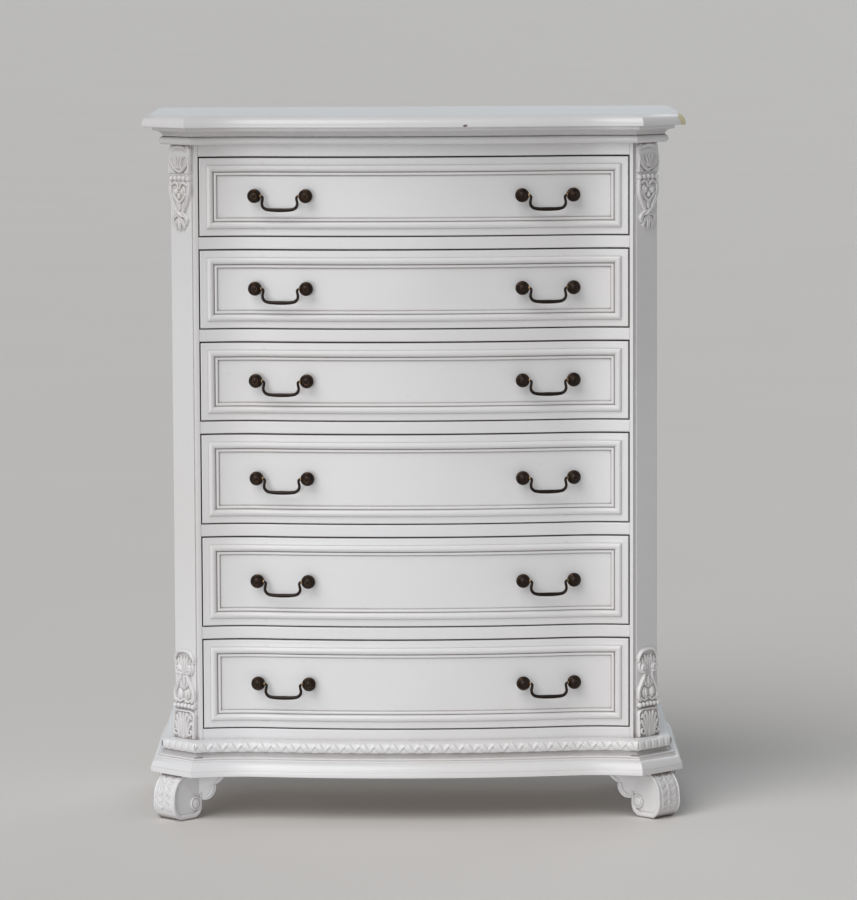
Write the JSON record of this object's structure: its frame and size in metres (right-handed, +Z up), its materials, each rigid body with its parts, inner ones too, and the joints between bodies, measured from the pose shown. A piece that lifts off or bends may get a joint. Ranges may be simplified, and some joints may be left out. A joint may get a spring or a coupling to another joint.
{
  "type": "tallboy",
  "caption": "Tall white chest of drawers with a serpentine front, canted carved corners, scroll feet and swan-neck bail handles.",
  "frame": {"origin": "on the floor, at the middle of the width and of the depth", "axes": "+X to the object's left-hand end as it faces you from -Y (right in the front view), +Y to the back, +Z up"},
  "size_m": [1.008, 0.4899, 1.315],
  "materials": {
    "white_lacquer": "semi-gloss white lacquer on carved wood",
    "antique_bronze": "antique bronze with rubbed edges",
    "drawer_wood": "clear satin on pale wood",
    "back_board": "unpainted plywood"
  },
  "bodies": {
    "case": {"top_board": "white_lacquer", "frieze_rail": "white_lacquer", "bottom_rail": "white_lacquer", "divider_rails": "white_lacquer", "stile_left": "white_lacquer", "pilaster_left": "white_lacquer", "side_panel_left": "white_lacquer", "stile_right": "white_lacquer", "pilaster_right": "white_lacquer", "side_panel_right": "white_lacquer", "back_panel": "back_board", "bottom_board": "back_board", "drawer_runners": "drawer_wood", "cornice_moulding": "white_lacquer", "ribbon_moulding": "white_lacquer", "base_moulding": "white_lacquer", "upper_carving_left": "white_lacquer", "lower_carving_left": "white_lacquer", "upper_carving_right": "white_lacquer", "lower_carving_right": "white_lacquer", "foot_front_right": "white_lacquer", "foot_front_left": "white_lacquer", "foot_rear_right": "white_lacquer", "foot_rear_left": "white_lacquer"},
    "drawer_1": {"drawer_1_front": "white_lacquer", "drawer_1_box": "drawer_wood", "drawer_1_bottom": "back_board", "drawer_1_pull_posts": "antique_bronze"},
    "bail_1_left": {"drawer_1_bail_left": "antique_bronze"},
    "bail_1_right": {"drawer_1_bail_right": "antique_bronze"},
    "drawer_2": {"drawer_2_front": "white_lacquer", "drawer_2_box": "drawer_wood", "drawer_2_bottom": "back_board", "drawer_2_pull_posts": "antique_bronze"},
    "bail_2_left": {"drawer_2_bail_left": "antique_bronze"},
    "bail_2_right": {"drawer_2_bail_right": "antique_bronze"},
    "drawer_3": {"drawer_3_front": "white_lacquer", "drawer_3_box": "drawer_wood", "drawer_3_bottom": "back_board", "drawer_3_pull_posts": "antique_bronze"},
    "bail_3_left": {"drawer_3_bail_left": "antique_bronze"},
    "bail_3_right": {"drawer_3_bail_right": "antique_bronze"},
    "drawer_4": {"drawer_4_front": "white_lacquer", "drawer_4_box": "drawer_wood", "drawer_4_bottom": "back_board", "drawer_4_pull_posts": "antique_bronze"},
    "bail_4_left": {"drawer_4_bail_left": "antique_bronze"},
    "bail_4_right": {"drawer_4_bail_right": "antique_bronze"},
    "drawer_5": {"drawer_5_front": "white_lacquer", "drawer_5_box": "drawer_wood", "drawer_5_bottom": "back_board", "drawer_5_pull_posts": "antique_bronze"},
    "bail_5_left": {"drawer_5_bail_left": "antique_bronze"},
    "bail_5_right": {"drawer_5_bail_right": "antique_bronze"},
    "drawer_6": {"drawer_6_front": "white_lacquer", "drawer_6_box": "drawer_wood", "drawer_6_bottom": "back_board", "drawer_6_pull_posts": "antique_bronze"},
    "bail_6_left": {"drawer_6_bail_left": "antique_bronze"},
    "bail_6_right": {"drawer_6_bail_right": "antique_bronze"}
  },
  "joints": [
    {"name": "drawer_1_slide", "type": "slide", "parent": "case", "child": "drawer_1", "axis": [0, -1, 0], "range_m": [0, 0.28]},
    {"name": "drawer_1_bail_left_swing", "type": "hinge", "parent": "drawer_1", "child": "bail_1_left", "pos_m": [-0.24782, -0.1911, 1.166], "axis": [-0.9896, 0.144, 0], "range_deg": [-32, 208]},
    {"name": "drawer_1_bail_right_swing", "type": "hinge", "parent": "drawer_1", "child": "bail_1_right", "pos_m": [0.24782, -0.1911, 1.166], "axis": [-0.9896, -0.144, 0], "range_deg": [-32, 208]},
    {"name": "drawer_2_slide", "type": "slide", "parent": "case", "child": "drawer_2", "axis": [0, -1, 0], "range_m": [0, 0.28]},
    {"name": "drawer_2_bail_left_swing", "type": "hinge", "parent": "drawer_2", "child": "bail_2_left", "pos_m": [-0.24782, -0.1911, 0.9945], "axis": [-0.9896, 0.144, 0], "range_deg": [-32, 208]},
    {"name": "drawer_2_bail_right_swing", "type": "hinge", "parent": "drawer_2", "child": "bail_2_right", "pos_m": [0.24782, -0.1911, 0.9945], "axis": [-0.9896, -0.144, 0], "range_deg": [-32, 208]},
    {"name": "drawer_3_slide", "type": "slide", "parent": "case", "child": "drawer_3", "axis": [0, -1, 0], "range_m": [0, 0.28]},
    {"name": "drawer_3_bail_left_swing", "type": "hinge", "parent": "drawer_3", "child": "bail_3_left", "pos_m": [-0.24782, -0.1911, 0.823], "axis": [-0.9896, 0.144, 0], "range_deg": [-32, 208]},
    {"name": "drawer_3_bail_right_swing", "type": "hinge", "parent": "drawer_3", "child": "bail_3_right", "pos_m": [0.24782, -0.1911, 0.823], "axis": [-0.9896, -0.144, 0], "range_deg": [-32, 208]},
    {"name": "drawer_4_slide", "type": "slide", "parent": "case", "child": "drawer_4", "axis": [0, -1, 0], "range_m": [0, 0.28]},
    {"name": "drawer_4_bail_left_swing", "type": "hinge", "parent": "drawer_4", "child": "bail_4_left", "pos_m": [-0.24782, -0.1911, 0.641], "axis": [-0.9896, 0.144, 0], "range_deg": [-32, 208]},
    {"name": "drawer_4_bail_right_swing", "type": "hinge", "parent": "drawer_4", "child": "bail_4_right", "pos_m": [0.24782, -0.1911, 0.641], "axis": [-0.9896, -0.144, 0], "range_deg": [-32, 208]},
    {"name": "drawer_5_slide", "type": "slide", "parent": "case", "child": "drawer_5", "axis": [0, -1, 0], "range_m": [0, 0.28]},
    {"name": "drawer_5_bail_left_swing", "type": "hinge", "parent": "drawer_5", "child": "bail_5_left", "pos_m": [-0.24782, -0.1911, 0.4485], "axis": [-0.9896, 0.144, 0], "range_deg": [-32, 208]},
    {"name": "drawer_5_bail_right_swing", "type": "hinge", "parent": "drawer_5", "child": "bail_5_right", "pos_m": [0.24782, -0.1911, 0.4485], "axis": [-0.9896, -0.144, 0], "range_deg": [-32, 208]},
    {"name": "drawer_6_slide", "type": "slide", "parent": "case", "child": "drawer_6", "axis": [0, -1, 0], "range_m": [0, 0.28]},
    {"name": "drawer_6_bail_left_swing", "type": "hinge", "parent": "drawer_6", "child": "bail_6_left", "pos_m": [-0.24782, -0.1911, 0.256], "axis": [-0.9896, 0.144, 0], "range_deg": [-32, 208]},
    {"name": "drawer_6_bail_right_swing", "type": "hinge", "parent": "drawer_6", "child": "bail_6_right", "pos_m": [0.24782, -0.1911, 0.256], "axis": [-0.9896, -0.144, 0], "range_deg": [-32, 208]}
  ]
}
